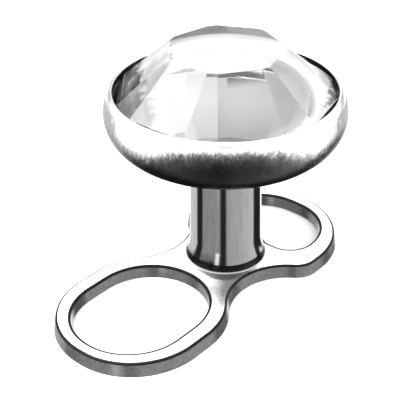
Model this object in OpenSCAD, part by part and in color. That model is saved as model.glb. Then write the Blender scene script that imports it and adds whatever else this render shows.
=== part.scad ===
// A dermal anchor: a flat foot plate with two open windows, an upright post, and a round cup with a
// cut stone. All sizes are in millimetres. The origin is on the axis of the post at the underside
// of the plate. +Z is up, and +X runs along the plate to the end of its shorter loop.

/* [Foot plate] */
// Thickness of the plate
plate_t = 0.3; // [0.25:0.05:0.4]
// Distance from the axis of the post to the end of the long loop
toe_reach = 4.48; // [4.3:0.02:4.8]
// Distance from the axis of the post to the end of the short loop
heel_reach = 2.94; // [2.86:0.02:3.06]
// Width across the long loop
toe_w = 3.34; // [3.28:0.02:3.44]
// Width across the short loop
heel_w = 3.6; // [3.5:0.02:3.7]
// Width of metal along the sides of the long loop
toe_rail = 0.41; // [0.36:0.01:0.48]
// Width of metal along the sides of the short loop
heel_rail = 0.5; // [0.44:0.01:0.54]
// Width of metal at the end of the long loop
toe_end = 0.3; // [0.24:0.01:0.36]
// Width of metal at the end of the short loop
heel_end = 0.36; // [0.3:0.01:0.42]
// Radius of the inward curve between the two loops
waist_r = 1.27; // [1.2:0.01:1.4]

/* [Post] */
// Diameter of the post above its foot
post_d = 1.57; // [1.5:0.01:1.7]
// Diameter of the post under the cup
post_top_d = 1.5; // [1.46:0.02:1.6]
// Diameter of the flared foot where it stands on the plate
foot_d = 1.76; // [1.72:0.02:1.86]
// Diameter of the socket for the stud
socket_d = 1.24; // [1.22:0.01:1.3]
// Depth of the socket
socket_depth = 1.9; // [1.7:0.1:2]

/* [Cup] */
// Height from the floor to the bottom of the cup
cup_z = 2.75; // [2.7:0.05:2.9]
// Height of the cup from its bottom to its lip
cup_h = 1.55; // [1.5:0.05:1.6]
// Widest diameter of the cup
cup_d = 4.99; // [4.9:0.01:5.1]
// Radius of the round side of the cup
side_r = 0.77; // [0.75:0.01:0.8]
// Opening of the lip
lip_d = 4.574; // [4.57:0.002:4.6]
// Diameter of the stud under the cup
stud_d = 1.2; // [1:0.05:1.2]
// Length of the stud under the cup
stud_l = 1.7; // [1.3:0.1:1.7]

/* [Stone] */
// Diameter of the stone across its corners
stone_d = 4.54; // [4.5:0.01:4.54]
// Diameter of the flat table across its corners
table_d = 2.4; // [2.2:0.05:2.6]
// Height from the floor to the table
table_z = 5.14; // [5.1:0.02:5.2]
// Height of the crown from the girdle to the table
crown_h = 0.92; // [0.86:0.02:0.96]
// Height of the straight side from the flat back to the crown
side_h = 0.7; // [0.6:0.05:0.75]
// Number of wide crown facets, each with a narrow one beside it
facets = 7; // [6:1:9]
// Turn of the stone in its cup, in degrees
stone_turn = 2.8; // [0:0.1:51]

/* [Hidden] */
$fn = 96;
// Gap that is left between two pieces that sit together
seat_gap = 0.02;
// Overlap of cutting bodies past the faces that they cut
over = 0.5;

// Foot plate: ends and corner radii of its two loops and two windows, all along X. A straight
// stretch of end_flat, side_flat or window_flat is left between two rounded corners
toe_back = -0.83;
heel_front = 0.36;
end_flat = 0.04;
side_flat = 0.2;
window_flat = 0.02;
toe_corner_r = 1.61;
heel_front_r = heel_reach - heel_w / 2 - side_flat - heel_front;
toe_window_front = -1.2;
heel_window_back = 0.8;
toe_window = [-toe_reach + toe_end, toe_window_front];
heel_window = [heel_window_back, heel_reach - heel_end];
toe_window_r = toe_w / 2 - toe_rail - end_flat / 2;
heel_window_end_r = 1.18;
heel_window_front_r = heel_window[1] - heel_window[0] - window_flat - heel_window_end_r;
plate_hole_d = 1.2;
seat_margin = 0.06;
// Centres of the corners from which the waist starts and where it ends
waist_a = [toe_back - toe_corner_r, toe_w / 2 - toe_corner_r];
waist_b = [heel_front + heel_front_r, heel_w / 2 - heel_front_r];
waist_c = meeting(waist_a, toe_corner_r + waist_r, waist_b, heel_front_r + waist_r);

// Post: its spigot goes through the plate and ends flush with it, and its top meets the cup.
// The flare of its foot is a wide arc that ends above a low rim
spigot_d = plate_hole_d - 2 * seat_gap;
post_z = plate_t + seat_gap;
post_top_z = cup_z - seat_gap;
flare_r = 1.3;
flare_lift = 0.01;
flare_angle = acos(1 - (foot_d - post_d) / 2 / flare_r);
flare_h = flare_lift + flare_r * sin(flare_angle);

// Cup: the flank is one arc, and the bottom is a wider arc that meets it without a corner.
// A flat land under the middle sits over the top of the post
lip_z = cup_z + cup_h;
widest_h = 1.08;
flank = [cup_d / 2 - side_r, cup_z + widest_h];
bottom_r = arc_through_axis(flank, side_r, cup_z);
land_d = 1.7;
land_h = 0.1;

// Stone: heights, and half the angle that each kind of facet takes at the table and at the girdle
girdle_z = table_z - crown_h;
back_z = girdle_z - side_h;
facet_step = 360 / facets;
narrow_half_t = 4.9;
narrow_half_g = 8.35;
wide_half_t = facet_step / 2 - narrow_half_t;
wide_half_g = facet_step / 2 - narrow_half_g;

// Unit vector along v
function unit(v) = v / norm(v);

// Upper of the two points at distance ra from point a and rb from point b
function meeting(a, ra, b, rb) =
    let (
        span = norm(b - a),
        along = (span * span + ra * ra - rb * rb) / (2 * span),
        across = sqrt(ra * ra - along * along),
        dir = (b - a) / span
    )
    a + along * dir + across * [-dir[1], dir[0]];

// Radius of the arc that crosses the axis at height z and touches an arc of radius r around point c
function arc_through_axis(c, r, z) =
    let (k = z + r)
    (k * k - c[1] * c[1] - c[0] * c[0]) / (2 * (k - c[1])) - z;

// Loop or window from x0 to x1, half_w to each side, with corner radius r0 at x0 and r1 at x1
module rounded(x0, x1, half_w, r0, r1) {
    for (side = [-1, 1]) {
        intersection() {
            translate([x0 + r0, side * (half_w - r0)]) circle(r0);
            translate([x0, -half_w]) square([r0, 2 * half_w]);
        }
        intersection() {
            translate([x1 - r1, side * (half_w - r1)]) circle(r1);
            translate([x1 - r1, -half_w]) square([r1, 2 * half_w]);
        }
    }
    polygon([
        [x0, -(half_w - r0)],
        [x0 + r0, -half_w],
        [x1 - r1, -half_w],
        [x1, -(half_w - r1)],
        [x1, half_w - r1],
        [x1 - r1, half_w],
        [x0 + r0, half_w],
        [x0, half_w - r0]
    ]);
}

// Outline of the plate without its windows
module plate_outline() {
    difference() {
        union() {
            rounded(-toe_reach, toe_back, toe_w / 2, toe_corner_r, toe_corner_r);
            rounded(heel_front, heel_reach, heel_w / 2, heel_front_r, heel_w / 2);
            polygon([
                [waist_a[0], -waist_a[1]],
                [waist_c[0], -waist_c[1]],
                [waist_b[0], -waist_b[1]],
                waist_b,
                waist_c,
                waist_a
            ]);
        }
        for (side = [-1, 1])
            translate([waist_c[0], side * waist_c[1]]) circle(waist_r);
    }
}

// The short loop's window, which goes round the seat of the post
module heel_window_outline() {
    half_w = heel_w / 2 - heel_rail;
    difference() {
        rounded(heel_window[0], heel_window[1], half_w, heel_window_front_r, heel_window_end_r);
        circle(d = foot_d + 2 * seat_margin);
    }
}

// Flat plate with its two windows and the hole for the post
module foot_plate() {
    color("gainsboro")
        linear_extrude(plate_t)
            difference() {
                plate_outline();
                rounded(toe_window[0], toe_window[1], toe_w / 2 - toe_rail, toe_window_r, toe_window_r);
                heel_window_outline();
                circle(d = plate_hole_d);
            }
}

// Half section of the flared foot, hollowed by one arc that runs out on the side of the post
module flare_section() {
    difference() {
        square([foot_d / 2, flare_h]);
        translate([post_d / 2 + flare_r, flare_h]) circle(flare_r);
    }
}

// Slim round post with a flared foot, a spigot in the plate and a socket from its top
module post() {
    color("silver")
        difference() {
            union() {
                cylinder(h = post_z + flare_lift, d = spigot_d);
                translate([0, 0, post_z]) rotate_extrude() flare_section();
                translate([0, 0, post_z + flare_h])
                    cylinder(h = post_top_z - post_z - flare_h, d1 = post_d, d2 = post_top_d);
            }
            translate([0, 0, post_top_z - socket_depth]) cylinder(h = socket_depth + over, d = socket_d);
        }
}

// Half section of the cup's outside, on the +X side of its axis
module cup_section() {
    touch_x = flank[0] + side_r * unit(flank - [0, cup_z + bottom_r])[0];
    intersection() {
        translate([0, cup_z + bottom_r]) circle(bottom_r);
        translate([0, cup_z]) square([touch_x, cup_h]);
    }
    intersection() {
        translate(flank) circle(side_r);
        translate([0, cup_z]) square([cup_d, cup_h]);
    }
    translate([0, cup_z]) square([land_d / 2, land_h]);
}

// Round cup with a thin lip round the stone, and the stud under it
module bezel_cup() {
    color("lightgray") {
        difference() {
            rotate_extrude() cup_section();
            cup_cavity();
        }
        translate([0, 0, cup_z - stud_l]) cylinder(h = stud_l + land_h, d = stud_d);
    }
}

// Hollow of the cup: a straight bore with a flat floor under the stone
module cup_cavity() {
    floor_z = back_z - seat_gap;
    translate([0, 0, floor_z]) cylinder(h = lip_z - floor_z + over, d = lip_d);
}

// All that lies inside the facet through [d0, z0] and [d1, z1] at the given azimuth
module inside_facet(azimuth, d0, z0, d1, z1) {
    slope = atan2(z1 - z0, d1 - d0);
    rotate([0, 0, azimuth])
        translate([d0, 0, z0])
            rotate([0, -slope, 0])
                translate([-stone_d, -stone_d, -2 * stone_d])
                    cube(2 * stone_d);
}

// All that lies inside one crown facet and the upright facet under it. Seen from the axis they
// reach half_t degrees to each side at the table and half_g degrees at the girdle
module inside_facet_pair(azimuth, half_t, half_g) {
    girdle_apothem = stone_d / 2 * cos(half_g);
    intersection() {
        inside_facet(azimuth, table_d / 2 * cos(half_t), table_z, girdle_apothem, girdle_z);
        inside_facet(azimuth, girdle_apothem, girdle_z, girdle_apothem, back_z);
    }
}

// Cut stone: table, crown of wide and narrow facets in turn, upright side facets and a flat back
module crystal() {
    color("whitesmoke")
        intersection() {
            translate([0, 0, back_z]) cylinder(h = table_z - back_z, d = stone_d + over);
            intersection_for(i = [0 : facets - 1])
                inside_facet_pair(stone_turn + i * facet_step, narrow_half_t, narrow_half_g);
            intersection_for(i = [0 : facets - 1])
                inside_facet_pair(stone_turn + (i + 0.5) * facet_step, wide_half_t, wide_half_g);
        }
}

foot_plate();
post();
bezel_cup();
crystal();
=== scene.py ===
import math

import bmesh
import bpy
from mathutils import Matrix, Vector


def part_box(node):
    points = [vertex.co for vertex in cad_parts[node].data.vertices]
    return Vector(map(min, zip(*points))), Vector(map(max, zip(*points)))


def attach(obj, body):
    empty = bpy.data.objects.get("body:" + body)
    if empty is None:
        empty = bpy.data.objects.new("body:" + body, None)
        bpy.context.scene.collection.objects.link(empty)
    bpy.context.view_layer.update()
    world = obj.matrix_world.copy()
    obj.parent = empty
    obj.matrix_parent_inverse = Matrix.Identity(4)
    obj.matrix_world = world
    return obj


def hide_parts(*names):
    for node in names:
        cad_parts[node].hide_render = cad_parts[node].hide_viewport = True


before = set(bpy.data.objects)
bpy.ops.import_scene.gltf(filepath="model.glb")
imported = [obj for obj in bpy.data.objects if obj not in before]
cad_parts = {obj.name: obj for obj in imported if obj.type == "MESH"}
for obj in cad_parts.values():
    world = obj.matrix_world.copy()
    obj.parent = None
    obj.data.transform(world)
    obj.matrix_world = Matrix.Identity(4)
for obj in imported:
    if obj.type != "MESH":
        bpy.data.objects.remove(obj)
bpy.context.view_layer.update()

# Lengths below are in millimetres, and MM turns them into metres
MM = 0.001
NEAR_ZERO = 1e-6

# Fineness of the meshes: faces round a turned piece, steps along each arc, and the angle in degrees
# from which an edge is shaded sharp
TURNS = 256
ARC_STEPS = 24
CUP_STEPS = 40
SHOULDER_STEPS = 12
CORNER_STEPS = 5
SHARP_ANGLE = 30

# Gap between two pieces that sit together
SEAT_GAP = 0.02

# Post: its spigot in the plate, the flare of its foot with a ring of painted shade at the joint, and its
# socket
POST_D = 1.57
POST_TOP_D = 1.5
SPIGOT_D = 1.16
SOCKET_D = 1.24
SOCKET_DEPTH = 1.9
FLARE_R = 1.3
FLARE_LIFT = 0.01
JOINT_H = 0.14

# Cup: its stud, the flat land over the post, the round side, the lip and the wall under the lip, painted
# dark as shade
STUD_D = 1.2
LAND_D = 1.7
SIDE_R = 0.77
WIDEST_H = 1.08
CUP_H = 1.55
SHOULDER_ANGLE = 26
LIP_D = 4.574
LIP_EDGE = 0.012
DARK_DEPTH = 0.13

# Cut stone: its table and girdle, and half the angle of a narrow facet at each of them
FACETS = 7
STONE_TURN = 2.8
STONE_D = 4.54
TABLE_D = 2.4
CROWN_H = 0.92
NARROW_HALF_T = 4.9
NARROW_HALF_G = 8.35
STONE_EDGE = 0.012

# Foot plate, seen from above: ends, widths and corner radii of its loops and windows
TOE_W = 3.34
TOE_BACK = -0.83
TOE_CORNER_R = 1.61
HEEL_FRONT = 0.36
HEEL_FRONT_R = 0.58
WAIST_R = 1.27
TOE_WINDOW = (-4.18, -1.2)
TOE_WINDOW_HALF_W = 1.26
TOE_WINDOW_R = 1.24
HEEL_WINDOW = (0.8, 2.58)
HEEL_WINDOW_HALF_W = 1.3
HEEL_WINDOW_FRONT_R = 0.58
HEEL_WINDOW_END_R = 1.18
SEAT_R = 0.94
HOLE_R = 0.6

# Sections of the plate's edges: depth under the top and how far the edge has drawn back there.
# The outer wall leans back and the windows' walls stand nearly upright. Over EDGE_DEPTH a small
# round, painted dark as a reflection, leads to the top
OUTER_SECTION = [
    (0.3, 0.012), (0.29, 0), (0.04, 0.044), (0.018, 0.05), (0.009, 0.057), (0.003, 0.07), (0, 0.092),
]
WINDOW_SECTION = [
    (0.3, -0.01), (0.29, -0.02), (0.04, -0.014), (0.018, -0.01), (0.009, -0.003), (0.003, 0.012),
    (0, 0.046),
]
EDGE_DEPTH = 0.03

# Material slots: the plate's walls and its edges painted dark as a reflection, after its top, and the
# stone's three parts
PLATE_WALL = 1
PLATE_EDGE = 2
STONE_GLASS = 0
STONE_SIDE = 1
STONE_BACK = 2

# Values of a noise between which most of its ramps run
NOISE_LOW = 0.3
NOISE_HIGH = 0.7

# Horizontal direction that points to the right in the photograph
RIGHTWARDS = (0.648, -0.762)

# Painted sheen on the cup, a pale band of painted reflection over a bottom painted dark as shade:
# how far under the lip the band is full, the height over which it fades below that, how ragged it is,
# how much lower it reaches at the sides of a cup of that half width, its grey, and how much of the painted
# dark's grey and of the metallic look it takes away
LIGHT_DEPTH = 0.02
SHEEN_FADE_H = 0.45
RAGGED = 0.28
SIDE_DROP = 0.45
CUP_HALF_W = 2.5
SHEEN_GREY = 0.8
SHEEN_HIDES = 0.8
SHEEN_DULLS = 0.6

# Ramps of the cup's painted sheen and shade. By how far a point is to a side: the share of the drop, and
# with a little mottling how light the sheen is there and how light the painted dark is. By level: the sheen
DROP_STOPS = [(0.2, 0), (0.4, 0.3), (0.56, 0.72), (0.68, 0.92), (0.8, 0.78), (0.9, 0.6)]
SHEEN_SIDE_STOPS = [(0.9, 1), (1, 0.35), (1, 0.22)]
DARK_SIDE_STOPS = [(0.35, 0.08), (0.7, 0.2), (0.95, 0.4)]
SIDE_MOTTLING = 0.25
SHEEN_STOPS = [(0, 0), (0.28, 0.04), (0.56, 0.16), (0.85, 0.68), (1, 1)]

# Patch of painted shade and reflection on the plate beside the post: its middle, its reach, how mottled
# it is, its greys from the middle outwards, the scale of their places, and the radii between which
# the painted highlight line round the post's foot ends
SHADE_PATCH_PLACE = (-0.9, -0.94)
SHADE_PATCH_REACH = 0.95
SHADE_PATCH_MOTTLING = 0.9
SHADE_PATCH_STOPS = [(0.3, 0.06), (0.5, 0.1), (0.66, 0.22), (0.8, 0.42), (0.96, 0.87)]
SHADE_PATCH_SCALE = 0.6
HIGHLIGHT_LINE = (0.9, 0.92)

# Foil: the greys of the stone's back by radius, where the back turns from polished to matt, and the
# grey factor of all the foil from the stone's left to its right, which paints shade on its ends, with how
# patchy it is
FOIL_STOPS = [(0, 0.46), (0.3, 0.43), (0.5, 0.37), (0.6, 0.47), (0.66, 0.66), (0.84, 0.66), (0.88, 0.18)]
MATT_STOPS = [(0.59, 1), (0.66, 0.1)]
END_STOPS = [(0.02, 0.03), (0.12, 0.1), (0.2, 0.25), (0.25, 1), (0.87, 1), (0.9, 0.2), (0.97, 0.04)]
END_PATCHES = 0.24
FOIL_ROUGHNESS = 0.01
GLASS_IOR = 1.52

# Camera, in the part's own frame: place, direction, lens and sensor, sideways shift and near limit
CAMERA_PLACE = (-13.807, -11.734, 13.03)
CAMERA_FORWARD = (0.6441, 0.5484, -0.5333)
CAMERA_LENS = 89.43
CAMERA_SENSOR_W = 36
CAMERA_SHIFT_X = -0.0621
CAMERA_CLIP = 0.5

# Floor: half its width. Background: the grey that the camera sees
FLOOR_HALF = 600
BACKDROP = 0.95

# What the metal and the stone reflect: each light has a strength, a profile by azimuth and one by
# elevation. Azimuths are in degrees from the camera's side, to the right in the photograph.
# GLOW comes from everywhere
GLOW = 0.015
LIGHTS = {
    # White dome, on the camera's side and behind the part, and a brighter patch high at the left
    "near_dome": (3.5, [(-120, 0), (-95, 1), (95, 1), (120, 0)], [(8, 0), (20, 1)]),
    "far_dome": (
        3.5,
        [(-180, 0.83), (-161, 0.8), (-148, 0.9), (-135, 1), (-120, 1), (-95, 0),
         (95, 0), (120, 1), (147, 1), (162, 1), (171, 0.83), (180, 0.83)],
        [(8, 0), (13, 0.36), (20, 0.36), (24, 0.46), (25.5, 0.46), (28, 0.3), (30, 0.36),
         (36, 0.6), (44, 0.8), (60, 1)],
    ),
    "key": (
        8,
        [(-125, 0), (-105, 1), (-30, 1), (0, 0)],
        [(36, 0), (44, 1), (58, 1), (65, 0.5), (74, 0.3), (84, 0)],
    ),
    # Grey cards below the horizon: left and right of the camera, and behind the part
    "left_card": (
        0.27,
        [(-99, 0), (-95, 0), (-80, 0), (-77, 1), (-19, 1), (-15, 0)],
        [(-46, 1), (-26, 1), (-19, 0.6), (-13, 0.6), (-9, 0)],
    ),
    "right_card": (
        0.57,
        [(0, 0), (5, 0.62), (50, 0.74), (99, 1), (102, 0)],
        [(-46, 1), (-3, 1), (2, 0)],
    ),
    "far_cards": (
        0.9,
        [(-180, 1.6), (-160, 1.3), (-145, 0.7), (-106, 0.7), (-102, 0),
         (145, 0), (149, 1), (165, 1.8), (180, 1.8)],
        [(-44, 0), (-38, 1), (-12, 1), (-6, 0)],
    ),
    # Low band at the horizon, brightest at both sides
    "side_glow": (
        3,
        [(-180, 0.12), (-140, 0.12), (-120, 1), (-80, 1), (-40, 0),
         (40, 0), (80, 1), (120, 1), (140, 0.12), (180, 0.12)],
        [(-5, 0), (2, 0.8), (8, 1), (20, 0)],
    ),
    # Small lights that show on the flare of the post's foot: at its right, and the bright line in front
    "foot_wedge": (0.9, [(118, 0), (124, 1), (145, 1), (149, 0)], [(-27, 0), (-24, 1), (-12, 1), (-6, 0)]),
    "slit": (0.8, [(-32, 0), (-29, 1), (-20, 1), (-17.5, 0)], [(-29, 0), (-27, 1), (2, 1), (5, 0)]),
}
# Patches that are darker by a depth: low in the far dome, at the left for the wall of the long
# loop's end, and at the camera
SHADES = {
    "far_edge": (
        1,
        [(-180, 0.1), (-177, 0.25), (-171, 1), (-168, 1), (-164, 0), (180, 0)],
        [(18, 0), (20, 1), (24.6, 1), (25.2, 0)],
    ),
    "toe_end": (0.6, [(-150, 0), (-140, 1), (-100, 1), (-95, 0)], [(-24, 0), (-18, 1), (-8, 1), (-4, 0)]),
    "camera": (1, [(-13, 0), (-9, 1), (9, 1), (13, 0)], [(26, 0), (28, 1), (40, 1), (42, 0)]),
}


def mm_box(node):
    """Lowest and highest corner of a CAD node, in millimetres."""
    low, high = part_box(node)
    return low / MM, high / MM


def add_object(name, builder, materials):
    """A new object from a bmesh in millimetres."""
    mesh = bpy.data.meshes.new(name)
    bmesh.ops.scale(builder, vec=(MM, MM, MM), verts=builder.verts)
    builder.normal_update()
    builder.to_mesh(mesh)
    builder.free()
    for material in materials:
        mesh.materials.append(material)
    piece = bpy.data.objects.new(name, mesh)
    bpy.context.scene.collection.objects.link(piece)
    return piece


def polar(radius, angle, height):
    """Point at a radius and an angle in degrees about the Z axis."""
    return (radius * math.cos(math.radians(angle)), radius * math.sin(math.radians(angle)), height)


def arc(centre, radius, start, end, steps=ARC_STEPS):
    """Points on an arc in a plane, from the angle start to the angle end, in degrees."""
    angles = [math.radians(start + (end - start) * i / steps) for i in range(steps + 1)]
    return [(centre[0] + radius * math.cos(a), centre[1] + radius * math.sin(a)) for a in angles]


def rounded_corner(before, corner, after, radius):
    """Points on the arc that rounds a corner of a section."""
    corner = Vector(corner)
    to_before = (Vector(before) - corner).normalized()
    to_after = (Vector(after) - corner).normalized()
    half = to_before.angle(to_after) / 2
    reach = radius / math.tan(half)
    centre = corner + (to_before + to_after).normalized() * radius / math.sin(half)
    first = (corner + to_before * reach - centre).normalized()
    last = (corner + to_after * reach - centre).normalized()
    spokes = [first.slerp(last, i / CORNER_STEPS).normalized() for i in range(CORNER_STEPS + 1)]
    return [tuple(centre + spoke * radius) for spoke in spokes]


def ring(builder, radius, height):
    """Vertices of one ring of a turned piece, or its single vertex on the axis."""
    if radius < NEAR_ZERO:
        return [builder.verts.new((0, 0, height))]
    return [builder.verts.new(polar(radius, 360 * i / TURNS, height)) for i in range(TURNS)]


def on_ring(verts, i):
    """Vertex i of a ring, counted round and round."""
    return verts[i % len(verts)]


def section_rings(builder, sections):
    """Rings of a turned piece with their materials, without repeated points."""
    rings = []
    last_point = None
    for points, material in sections:
        for point in points:
            if last_point and (Vector(point) - Vector(last_point)).length < NEAR_ZERO:
                continue
            rings.append((ring(builder, *point), material))
            last_point = point
    return rings


def lathe(name, sections):
    """Turns the sections about Z. Each is (points, material) and starts where the last ends."""
    builder = bmesh.new()
    materials = list(dict.fromkeys(material for _, material in sections))
    rings = section_rings(builder, sections)
    for (lower, _), (upper, material) in zip(rings, rings[1:]):
        for i in range(TURNS):
            corners = [on_ring(lower, i), on_ring(lower, i + 1), on_ring(upper, i + 1), on_ring(upper, i)]
            face = builder.faces.new(list(dict.fromkeys(corners)))
            face.material_index = materials.index(material)
            face.smooth = True
    piece = add_object(name, builder, materials)
    piece.data.set_sharp_from_angle(angle=math.radians(SHARP_ANGLE))
    return piece


def new_material(name):
    """A new material with its node tree and its shader."""
    material = bpy.data.materials.new(name)
    material.use_nodes = True
    tree = material.node_tree
    return material, tree, tree.nodes["Principled BSDF"]


def set_socket(tree, socket, value):
    """Links an output to an input, or sets the input to a number or colour."""
    if isinstance(value, bpy.types.NodeSocket):
        tree.links.new(value, socket)
    else:
        socket.default_value = value


def add_node(tree, kind, **inputs):
    """A shader node whose inputs are numbers, colours or other nodes' outputs."""
    node = tree.nodes.new("ShaderNode" + kind)
    for name, value in inputs.items():
        set_socket(tree, node.inputs[name.replace("_", " ")], value)
    return node


def math_node(tree, operation, *values):
    """Output of a math node."""
    node = tree.nodes.new("ShaderNodeMath")
    node.operation = operation
    for socket, value in zip(node.inputs, values):
        set_socket(tree, socket, value)
    return node.outputs[0]


def ramp(tree, value, stops):
    """Output of a grey ramp. Stops are (place, grey), from 0 to 1."""
    node = add_node(tree, "ValToRGB", Fac=value)
    elements = node.color_ramp.elements
    while len(elements) > 1:
        elements.remove(elements[-1])
    for i, (place, grey) in enumerate(stops):
        element = elements[0] if i == 0 else elements.new(place)
        element.position = place
        element.color = (grey, grey, grey, 1)
    return node.outputs["Color"]


def grain(tree, scale, detail=3, stretch=(1, 1, 1)):
    """Noise in cells of 1 / scale millimetres, drawn out by the stretch along each axis."""
    coordinates = add_node(tree, "TexCoord")
    size = [1 / MM / factor for factor in stretch]
    placed = add_node(tree, "Mapping", Vector=coordinates.outputs["Object"], Scale=size)
    noise = add_node(tree, "TexNoise", Vector=placed.outputs[0], Scale=scale, Detail=detail, Roughness=0.6)
    return noise.outputs[0]


def vary(tree, noise, low, high):
    """Grey that a noise varies from low to high."""
    return ramp(tree, noise, [(NOISE_LOW, low), (NOISE_HIGH, high)])


def object_place(tree):
    """Outputs X, Y and Z of a point on the object, in metres."""
    return add_node(tree, "SeparateXYZ", Vector=add_node(tree, "TexCoord").outputs["Object"]).outputs


def length(tree, x, y):
    """Length of the vector (x, y)."""
    squares = math_node(tree, "MULTIPLY_ADD", x, x, math_node(tree, "MULTIPLY", y, y))
    return math_node(tree, "SQRT", squares)


def to_the_right(tree, place, span):
    """How far a place is to the photograph's right of the Z axis, as a share of a span."""
    along_x = math_node(tree, "MULTIPLY", place["X"], RIGHTWARDS[0] / span / MM)
    return math_node(tree, "MULTIPLY_ADD", place["Y"], RIGHTWARDS[1] / span / MM, along_x)


def bump(tree, shader, height, rise):
    """Raises the surface where the height is 1, by a rise in millimetres."""
    node = add_node(tree, "Bump", Height=height, Distance=rise * MM, Strength=1)
    tree.links.new(node.outputs[0], shader.inputs["Normal"])


def metal(name, greys, roughness, rise, tone_scale=20, relief_scale=30, metallic=1, upright=(1, 1)):
    """Metal whose grey and roughness vary with one noise and whose surface rises with another.

    The two numbers of upright draw the two noises out along Z.
    """
    material, tree, shader = new_material(name)
    tone = grain(tree, tone_scale, stretch=(1, 1, upright[0]))
    set_socket(tree, shader.inputs["Base Color"], vary(tree, tone, *greys))
    set_socket(tree, shader.inputs["Roughness"], vary(tree, tone, *roughness))
    shader.inputs["Metallic"].default_value = metallic
    bump(tree, shader, grain(tree, relief_scale, stretch=(1, 1, upright[1])), rise)
    return material


def sheen_level(tree, place, side, grains, mottling, light_z):
    """0 where the painted sheen starts and 1 near the height light_z, ragged and lower at the sides."""
    drop = ramp(tree, side, DROP_STOPS)
    lifted = math_node(tree, "MULTIPLY_ADD", drop, SIDE_DROP * MM, place["Z"])
    fine = math_node(tree, "MULTIPLY", grains, RAGGED)
    coarse = math_node(tree, "MULTIPLY", mottling, RAGGED)
    ragged = math_node(tree, "MULTIPLY_ADD", math_node(tree, "ADD", fine, coarse), MM, lifted)
    dark_z = light_z + RAGGED - SHEEN_FADE_H
    return math_node(tree, "DIVIDE", math_node(tree, "SUBTRACT", ragged, dark_z * MM), SHEEN_FADE_H * MM)


def cup_satin_painted_sheen(light_z):
    """Satin metal with a band of painted sheen, full at light_z, over a bottom painted dark as shade;
    towards the sides the painted dark is lighter and at the ends the sheen fades.
    """
    material, tree, shader = new_material("cup_satin_painted_sheen")
    place = object_place(tree)
    grains = grain(tree, 30, 5, (1, 1, 2.5))
    mottling = grain(tree, 9, 6, (1, 1, 1.5))
    side = math_node(tree, "ABSOLUTE", to_the_right(tree, place, CUP_HALF_W))
    # Painted light: a pale band of sheen over a bottom painted dark, both changed towards the sides
    painted_sheen = ramp(tree, sheen_level(tree, place, side, grains, mottling, light_z), SHEEN_STOPS)
    mottled_side = math_node(tree, "MULTIPLY_ADD", mottling, SIDE_MOTTLING, side)
    sheen_at_side = ramp(tree, mottled_side, SHEEN_SIDE_STOPS)
    dark_at_side = ramp(tree, mottled_side, DARK_SIDE_STOPS)
    light = math_node(tree, "MULTIPLY", painted_sheen, sheen_at_side)
    dark = math_node(tree, "MULTIPLY", dark_at_side, math_node(tree, "MULTIPLY_ADD", painted_sheen, -SHEEN_HIDES, 1))
    metallic = math_node(tree, "SUBTRACT", 1, math_node(tree, "MULTIPLY", painted_sheen, SHEEN_DULLS))
    set_socket(tree, shader.inputs["Base Color"], math_node(tree, "MULTIPLY_ADD", light, SHEEN_GREY, dark))
    set_socket(tree, shader.inputs["Metallic"], metallic)
    set_socket(tree, shader.inputs["Roughness"], vary(tree, grains, 0.22, 0.34))
    bump(tree, shader, grain(tree, 30, 4, (1, 1, 2.5)), 0.005)
    return material


def shoulder_polish():
    """Polished metal over the cup's satin side."""
    return metal("shoulder_polish", (0.78, 0.84), (0.08, 0.14), 0.0006, metallic=0.7)


def lip_polish():
    """Polished metal of the thin lip."""
    return metal("lip_polish", (0.8, 0.86), (0.12, 0.2), 0.001)


def wall_painted_shade():
    """The cup's wall just under the lip, metal painted dark as shade."""
    return metal("wall_painted_shade", (0.02, 0.035), (0.3, 0.4), 0.001)


def post_polish():
    """Polished metal with fine upright lines."""
    return metal("post_polish", (0.74, 0.92), (0.1, 0.14), 0.0005, 24, 20, upright=(14, 20))


def joint_painted_shade():
    """Ring of metal painted dark as shade where the post stands on the plate."""
    return metal("joint_painted_shade", (0.02, 0.04), (0.2, 0.3), 0.001)


def plate_satin_painted_shade():
    """Light satin metal with a mottled patch of painted shade and reflection beside the post, up to a
    painted highlight line round its foot.
    """
    material, tree, shader = new_material("plate_satin_painted_shade")
    grains = grain(tree, 12)
    place = object_place(tree)
    # Painted shade and reflection: a mottled patch beside the post
    along = math_node(tree, "SUBTRACT", place["X"], SHADE_PATCH_PLACE[0] * MM)
    across = math_node(tree, "SUBTRACT", place["Y"], SHADE_PATCH_PLACE[1] * MM)
    away = math_node(tree, "DIVIDE", length(tree, along, across), SHADE_PATCH_REACH * MM)
    spotted = math_node(tree, "MULTIPLY_ADD", grain(tree, 20, 6), SHADE_PATCH_MOTTLING, away)
    from_post = math_node(tree, "DIVIDE", length(tree, place["X"], place["Y"]), MM)
    # Painted highlight: a bright line round the post's foot
    line = ramp(tree, from_post, [(HIGHLIGHT_LINE[0], 1), (HIGHLIGHT_LINE[1], 0)])
    level = math_node(tree, "MULTIPLY", math_node(tree, "ADD", spotted, line), SHADE_PATCH_SCALE)
    set_socket(tree, shader.inputs["Base Color"], ramp(tree, level, SHADE_PATCH_STOPS))
    set_socket(tree, shader.inputs["Roughness"], vary(tree, grains, 0.16, 0.24))
    shader.inputs["Metallic"].default_value = 0.6
    bump(tree, shader, grain(tree, 25), 0.002)
    return material


def plate_wall():
    """Polished metal of the plate's upright walls, a darker copy of the top's metal as painted shade."""
    return metal("plate_wall", (0.24, 0.34), (0.18, 0.26), 0.0006, 14, 18, 0.85)


def plate_edge_painted_reflection():
    """Metal of the small round between the walls and the top, painted dark as a reflection."""
    return metal("plate_edge_painted_reflection", (0.008, 0.02), (0.3, 0.4), 0.0006)


def painted_shade_at_ends(tree):
    """Grey factor of the foil: 1 over most of the stone and less, in patches of painted shade, at its left
    and right.
    """
    side = to_the_right(tree, object_place(tree), STONE_D)
    patches = math_node(tree, "MULTIPLY_ADD", grain(tree, 3, 2), END_PATCHES, side)
    return ramp(tree, math_node(tree, "ADD", patches, 0.5 - END_PATCHES / 2), END_STOPS)


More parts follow.
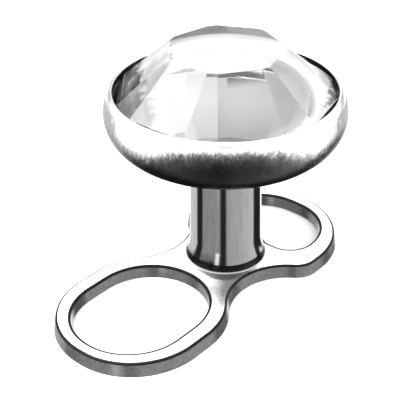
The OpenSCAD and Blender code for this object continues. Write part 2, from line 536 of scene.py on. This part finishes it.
def side_foil():
    """Bright foil round the side of the glass, half polished."""
    material, tree, shader = new_material("side_foil")
    tone = grain(tree, 2)
    shade = ramp(tree, tone, [(0.35, 0.5), (0.65, 0.85)])
    set_socket(tree, shader.inputs["Base Color"], math_node(tree, "MULTIPLY", shade, painted_shade_at_ends(tree)))
    set_socket(tree, shader.inputs["Metallic"], vary(tree, tone, 0.8, 0.9))
    shader.inputs["Roughness"].default_value = FOIL_ROUGHNESS
    return material


def back_foil():
    """Foil behind the glass: polished in the middle, white and matt round it, greyer at the rim."""
    material, tree, shader = new_material("back_foil")
    place = object_place(tree)
    tone = vary(tree, grain(tree, 2), 0.96, 1)
    outwards = math_node(tree, "DIVIDE", length(tree, place["X"], place["Y"]), STONE_D / 2 * MM)
    shade = ramp(tree, outwards, FOIL_STOPS)
    ends = math_node(tree, "MULTIPLY", tone, painted_shade_at_ends(tree))
    set_socket(tree, shader.inputs["Base Color"], math_node(tree, "MULTIPLY", shade, ends))
    set_socket(tree, shader.inputs["Metallic"], ramp(tree, outwards, MATT_STOPS))
    shader.inputs["Roughness"].default_value = FOIL_ROUGHNESS
    return material


def crystal_clear():
    """Clear polished glass, very slightly uneven in tint and polish."""
    material, tree, shader = new_material("crystal_clear")
    set_socket(tree, shader.inputs["Base Color"], vary(tree, grain(tree, 2), 0.97, 1))
    set_socket(tree, shader.inputs["Roughness"], vary(tree, grain(tree, 6), 0, 0.01))
    shader.inputs["Transmission Weight"].default_value = 1
    shader.inputs["IOR"].default_value = GLASS_IOR
    return material


def build_post(polish, dark):
    """The post with its flared foot, painted dark as shade at the joint, its spigot and its socket."""
    low, high = mm_box("post")
    seat = mm_box("foot_plate")[1].z + SEAT_GAP
    foot_r = high.x
    reach = math.degrees(math.acos(1 - (foot_r - POST_D / 2) / FLARE_R))
    flare_top = seat + FLARE_LIFT + FLARE_R * math.sin(math.radians(reach))
    flare_centre = (POST_D / 2 + FLARE_R, flare_top)
    joint_angle = math.degrees(math.asin((flare_top - seat - JOINT_H) / FLARE_R))
    # The ring at the joint is painted dark as shade
    joint = [(foot_r, seat), *arc(flare_centre, FLARE_R, 180 + reach, 180 + joint_angle)]
    flare = arc(flare_centre, FLARE_R, 180 + joint_angle, 180)
    spigot = [(0, low.z), (SPIGOT_D / 2, low.z), (SPIGOT_D / 2, seat)]
    outer = [*flare, (POST_TOP_D / 2, high.z)]
    socket_z = high.z - SOCKET_DEPTH
    inner = [(SOCKET_D / 2, high.z), (SOCKET_D / 2, socket_z), (0, socket_z)]
    return lathe("post_turned", [(spigot, polish), (joint, dark), (outer + inner, polish)])


def cup_outside(half_w, cup_z, lip_z):
    """Underside, side and shoulder of the cup: a wide arc from the land, and two of a narrower one."""
    flank = Vector((half_w - SIDE_R, cup_z + WIDEST_H))
    # The arcs touch, and the lowest point of the wide one is at cup_z
    base = cup_z + SIDE_R
    bottom_r = (base * base - flank.y ** 2 - flank.x ** 2) / (2 * (base - flank.y)) - cup_z
    bottom_centre = Vector((0, cup_z + bottom_r))
    spoke = flank - bottom_centre
    touch_angle = math.degrees(math.atan2(spoke.y, spoke.x))
    land_angle = -math.degrees(math.acos(LAND_D / 2 / bottom_r))
    lip_angle = math.degrees(math.asin((lip_z - flank.y) / SIDE_R))
    underside = arc(bottom_centre, bottom_r, land_angle, touch_angle, CUP_STEPS)
    side = arc(flank, SIDE_R, touch_angle, SHOULDER_ANGLE, CUP_STEPS)
    shoulder = arc(flank, SIDE_R, SHOULDER_ANGLE, lip_angle, SHOULDER_STEPS)
    return underside, side, shoulder


def build_cup(satin, shoulder_metal, polish, dark):
    """The cup and its stud: a satin side with painted sheen and shade, a polished shoulder and lip, and a
    wall painted dark as shade beside the stone.
    """
    low, high = mm_box("bezel_cup")
    lip_z = high.z
    cup_z = lip_z - CUP_H
    floor_z = mm_box("crystal")[0].z - SEAT_GAP
    underside, side, shoulder = cup_outside(high.x, cup_z, lip_z)
    lip_outer = shoulder[-1]
    lip_inner = (LIP_D / 2, lip_z)
    outer_edge = rounded_corner(shoulder[-3], lip_outer, lip_inner, LIP_EDGE)
    inner_edge = rounded_corner(lip_outer, lip_inner, (LIP_D / 2, floor_z), LIP_EDGE)
    stud = [(0, low.z), (STUD_D / 2, low.z), (STUD_D / 2, cup_z), (LAND_D / 2, cup_z)]
    lip = [*outer_edge, *inner_edge]
    wall = [inner_edge[-1], (LIP_D / 2, lip_z - DARK_DEPTH)]
    cavity = [wall[-1], (LIP_D / 2, floor_z), (0, floor_z)]
    return lathe("cup_turned", [
        (stud + underside + side, satin),
        (shoulder[:-2], shoulder_metal),
        (lip, polish),
        # The wall under the lip is painted dark as shade
        (wall, dark),
        (cavity, satin),
    ])


def facet_corners(builder, diameter, narrow_half, height):
    """Corners of the stone at one height, two to each narrow facet."""
    middles = [STONE_TURN + i * 360 / FACETS for i in range(FACETS)]
    angles = [middle + sign * narrow_half for middle in middles for sign in (-1, 1)]
    return [builder.verts.new(polar(diameter / 2, angle, height)) for angle in angles]


def build_stone(glass, side, back):
    """The stone: a table and a crown of wide and narrow facets in glass, over foiled sides and back."""
    low, high = mm_box("crystal")
    builder = bmesh.new()
    rows = [
        facet_corners(builder, TABLE_D, NARROW_HALF_T, high.z),
        facet_corners(builder, STONE_D, NARROW_HALF_G, high.z - CROWN_H),
        facet_corners(builder, STONE_D, NARROW_HALF_G, low.z),
    ]
    builder.faces.new(rows[0]).material_index = STONE_GLASS
    for upper, lower, index in zip(rows, rows[1:], (STONE_GLASS, STONE_SIDE)):
        for i in range(len(upper)):
            j = (i + 1) % len(upper)
            face = builder.faces.new((upper[i], lower[i], lower[j], upper[j]))
            face.material_index = index
    builder.faces.new(reversed(rows[2])).material_index = STONE_BACK
    builder.normal_update()
    edges = [
        edge for edge in builder.edges
        if any(face.material_index == STONE_GLASS for face in edge.link_faces)
    ]
    bmesh.ops.bevel(
        builder, geom=edges, offset=STONE_EDGE, segments=2, profile=0.5, affect="EDGES",
        material=STONE_GLASS,
    )
    return add_object("stone_cut", builder, [glass, side, back])


def heading(start, end):
    """Direction from one point to another, in degrees."""
    return math.degrees(math.atan2(end[1] - start[1], end[0] - start[0]))


def mirrored(upper):
    """Closed loop from its half above the X axis, whose two ends lie on that axis."""
    return upper + [(x, -y) for x, y in reversed(upper[1:-1])]


def meeting(a, reach_a, b, reach_b):
    """Upper of the two points at a reach from a and a reach from b."""
    a, b = Vector(a), Vector(b)
    span = (b - a).length
    along = (span ** 2 + reach_a ** 2 - reach_b ** 2) / (2 * span)
    across = math.sqrt(reach_a ** 2 - along ** 2)
    step = (b - a) / span
    return a + along * step + across * Vector((-step.y, step.x))


def plate_outline(low, high, inset):
    """Outline of the plate, drawn in by the inset."""
    end = (high.x - high.y, 0)
    heel = (HEEL_FRONT + HEEL_FRONT_R, high.y - HEEL_FRONT_R)
    toe = (TOE_BACK - TOE_CORNER_R, TOE_W / 2 - TOE_CORNER_R)
    tip = (low.x + TOE_CORNER_R, toe[1])
    waist = meeting(toe, TOE_CORNER_R + WAIST_R, heel, HEEL_FRONT_R + WAIST_R)
    return mirrored([
        *arc(end, high.y - inset, 0, 90),
        *arc(heel, HEEL_FRONT_R - inset, 90, heading(heel, waist)),
        *arc(waist, WAIST_R + inset, heading(waist, heel), heading(waist, toe))[1:-1],
        *arc(toe, TOE_CORNER_R - inset, heading(toe, waist), 90),
        *arc(tip, TOE_CORNER_R - inset, 90, 180),
        (low.x + inset, 0),
    ])


def toe_window(growth):
    """Outline of the long loop's window, grown outwards."""
    centre_y = TOE_WINDOW_HALF_W - TOE_WINDOW_R
    return mirrored([
        (TOE_WINDOW[1] + growth, 0),
        *arc((TOE_WINDOW[1] - TOE_WINDOW_R, centre_y), TOE_WINDOW_R + growth, 0, 90),
        *arc((TOE_WINDOW[0] + TOE_WINDOW_R, centre_y), TOE_WINDOW_R + growth, 90, 180),
        (TOE_WINDOW[0] - growth, 0),
    ])


def heel_window(growth):
    """Outline of the short loop's window, grown outwards, with its side round the post's seat."""
    seat = SEAT_R - growth
    front = HEEL_WINDOW[0] - growth
    front_centre = (HEEL_WINDOW[0] + HEEL_WINDOW_FRONT_R, HEEL_WINDOW_HALF_W - HEEL_WINDOW_FRONT_R)
    end_centre = (HEEL_WINDOW[1] - HEEL_WINDOW_END_R, HEEL_WINDOW_HALF_W - HEEL_WINDOW_END_R)
    return mirrored([
        (HEEL_WINDOW[1] + growth, 0),
        *arc(end_centre, HEEL_WINDOW_END_R + growth, 0, 90),
        *arc(front_centre, HEEL_WINDOW_FRONT_R + growth, 90, 180),
        *arc((0, 0), seat, math.degrees(math.acos(front / seat)), 0),
    ])


def post_hole():
    """Outline of the hole that the post's spigot fills."""
    return mirrored(arc((0, 0), HOLE_R, 0, 180, TURNS // 4))


def add_wall(builder, top_z, section, outline):
    """One wall of the plate, with a small round at its top painted dark as a reflection. Gives its rings,
    from the underside up.
    """
    rings = []
    for depth, draw in section:
        rings.append([builder.verts.new((x, y, top_z - depth)) for x, y in outline(draw)])
    for lower, upper in zip(rings, rings[1:]):
        # The round at the top is painted dark as a reflection
        dark = top_z - upper[0].co.z < EDGE_DEPTH
        for i in range(len(lower)):
            face = builder.faces.new((lower[i - 1], lower[i], upper[i], upper[i - 1]))
            face.material_index = PLATE_EDGE if dark else PLATE_WALL
            face.smooth = True
    return rings


def fill_between(builder, loops):
    """Flat faces between closed loops of vertices in one plane."""
    edges = [builder.edges.get((loop[i - 1], loop[i])) for loop in loops for i in range(len(loop))]
    bmesh.ops.triangle_fill(builder, use_beauty=True, edges=edges)


def build_plate(satin, wall, edge):
    """The plate: the walls of its outline, windows and hole, and a flat top and underside."""
    low, high = mm_box("foot_plate")
    builder = bmesh.new()
    outlines = [
        (OUTER_SECTION, lambda draw: plate_outline(low, high, draw)),
        (WINDOW_SECTION, toe_window),
        (WINDOW_SECTION, heel_window),
        (WINDOW_SECTION, lambda draw: post_hole()),
    ]
    walls = [add_wall(builder, high.z, section, outline) for section, outline in outlines]
    for level in (0, -1):
        fill_between(builder, [rings[level] for rings in walls])
    bmesh.ops.recalc_face_normals(builder, faces=builder.faces)
    piece = add_object("plate_cut", builder, [satin, wall, edge])
    piece.visible_glossy = False
    piece.data.set_sharp_from_angle(angle=math.radians(SHARP_ANGLE))
    return piece


def add_camera():
    """The camera at the photograph's viewing angle."""
    data = bpy.data.cameras.new("camera")
    camera = bpy.data.objects.new("camera", data)
    bpy.context.scene.collection.objects.link(camera)
    camera.location = Vector(CAMERA_PLACE) * MM
    camera.rotation_euler = Vector(CAMERA_FORWARD).to_track_quat("-Z", "Y").to_euler()
    data.sensor_width = CAMERA_SENSOR_W
    data.lens = CAMERA_LENS
    data.shift_x = CAMERA_SHIFT_X
    data.clip_start = CAMERA_CLIP * MM
    bpy.context.scene.camera = camera


def add_floor():
    """A wide pale floor, kept out of the reflections."""
    builder = bmesh.new()
    bmesh.ops.create_grid(builder, x_segments=1, y_segments=1, size=FLOOR_HALF)
    material, tree, shader = new_material("floor_pale")
    set_socket(tree, shader.inputs["Base Color"], vary(tree, grain(tree, 0.2), 0.6, 0.62))
    shader.inputs["Roughness"].default_value = 0.9
    shader.inputs["Specular IOR Level"].default_value = 0
    floor = add_object("floor", builder, [material])
    floor.visible_glossy = False


def sky_place(tree):
    """Azimuth from the camera's side and elevation of a direction, both as shares from 0 to 1."""
    split = add_node(tree, "SeparateXYZ", Vector=add_node(tree, "TexCoord").outputs["Generated"])
    facing = math.atan2(CAMERA_PLACE[1], CAMERA_PLACE[0])
    azimuth = math_node(tree, "ARCTAN2", split.outputs["Y"], split.outputs["X"])
    turned = math_node(tree, "DIVIDE", math_node(tree, "SUBTRACT", azimuth, facing), math.tau)
    around = math_node(tree, "FRACT", math_node(tree, "ADD", turned, 0.5))
    elevation = math_node(tree, "DIVIDE", math_node(tree, "ARCSINE", split.outputs["Z"]), math.pi)
    return around, math_node(tree, "ADD", elevation, 0.5)


def sky_patch(tree, place, by_azimuth, by_elevation):
    """Product of a profile by azimuth and one by elevation, whose stops are in degrees."""
    along = ramp(tree, place[0], [((degrees + 180) / 360, grey) for degrees, grey in by_azimuth])
    up = ramp(tree, place[1], [((degrees + 90) / 180, grey) for degrees, grey in by_elevation])
    return math_node(tree, "MULTIPLY", along, up)


def add_world():
    """The studio: the lights less the shades, and a plain pale backdrop where the camera looks."""
    world = bpy.data.worlds.new("studio")
    bpy.context.scene.world = world
    world.use_nodes = True
    tree = world.node_tree
    place = sky_place(tree)
    glow = GLOW
    for strength, *profiles in LIGHTS.values():
        glow = math_node(tree, "MULTIPLY_ADD", sky_patch(tree, place, *profiles), strength, glow)
    for depth, *profiles in SHADES.values():
        shade = math_node(tree, "MULTIPLY", sky_patch(tree, place, *profiles), depth)
        glow = math_node(tree, "MULTIPLY", glow, math_node(tree, "SUBTRACT", 1, shade))
    seen = add_node(tree, "LightPath").outputs["Is Camera Ray"]
    unseen = math_node(tree, "MULTIPLY", glow, math_node(tree, "SUBTRACT", 1, seen))
    total = math_node(tree, "MULTIPLY_ADD", seen, BACKDROP, unseen)
    tree.links.new(total, tree.nodes["Background"].inputs["Color"])


bpy.context.scene.view_settings.view_transform = "Standard"
add_camera()
add_floor()
add_world()
# Height at which the cup's painted sheen is full
sheen_top_z = mm_box("bezel_cup")[1].z - LIGHT_DEPTH
cup = build_cup(cup_satin_painted_sheen(sheen_top_z), shoulder_polish(), lip_polish(), wall_painted_shade())
post = build_post(post_polish(), joint_painted_shade())
plate = build_plate(plate_satin_painted_shade(), plate_wall(), plate_edge_painted_reflection())
stone = build_stone(crystal_clear(), side_foil(), back_foil())
for piece, node, slot in (
    (cup, "bezel_cup", "cup_steel"),
    (post, "post", "post_steel"),
    (plate, "foot_plate", "plate_steel"),
    (stone, "crystal", "stone"),
):
    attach(piece, "root")
    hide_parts(node)
